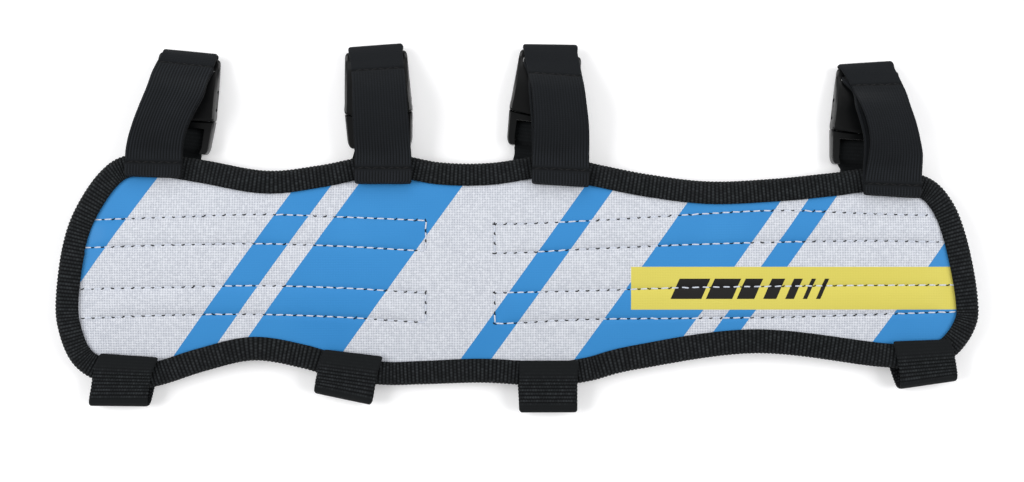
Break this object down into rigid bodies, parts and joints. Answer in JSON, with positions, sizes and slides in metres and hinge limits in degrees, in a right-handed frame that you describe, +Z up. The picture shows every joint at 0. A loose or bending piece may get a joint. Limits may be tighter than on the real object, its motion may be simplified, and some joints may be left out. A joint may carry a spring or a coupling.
{
  "type": "archery arm guard",
  "caption": "Long cloth arm guard with a taped edge and sewn channels, closed by elastic straps with side release buckles.",
  "frame": {"origin": "middle of the guard's box, on the surface it lies on", "axes": "+X along the guard's length, +Y towards the edge with the elastic straps, +Z up out of its printed face"},
  "size_m": [0.329, 0.1322, 0.0186],
  "materials": {
    "panel_cloth": "woven cloth with a smooth printed film",
    "edge_tape": "ribbed woven tape",
    "elastic": "knitted elastic with lengthwise ribs",
    "web_tape": "ribbed woven tape",
    "buckle_plastic": "moulded, satin"
  },
  "bodies": {
    "root": {"panel": "panel_cloth", "edge_binding": "edge_tape", "elastic_strap_1": "elastic", "elastic_strap_2": "elastic", "elastic_strap_3": "elastic", "elastic_strap_4": "elastic", "buckle_female_1": "buckle_plastic", "buckle_female_2": "buckle_plastic", "buckle_female_3": "buckle_plastic", "buckle_female_4": "buckle_plastic", "buckle_male_1": "buckle_plastic", "buckle_male_2": "buckle_plastic", "buckle_male_3": "buckle_plastic", "buckle_male_4": "buckle_plastic", "web_strap_1": "web_tape", "web_strap_2": "web_tape", "web_strap_3": "web_tape", "web_strap_4": "web_tape"}
  },
  "joints": []
}
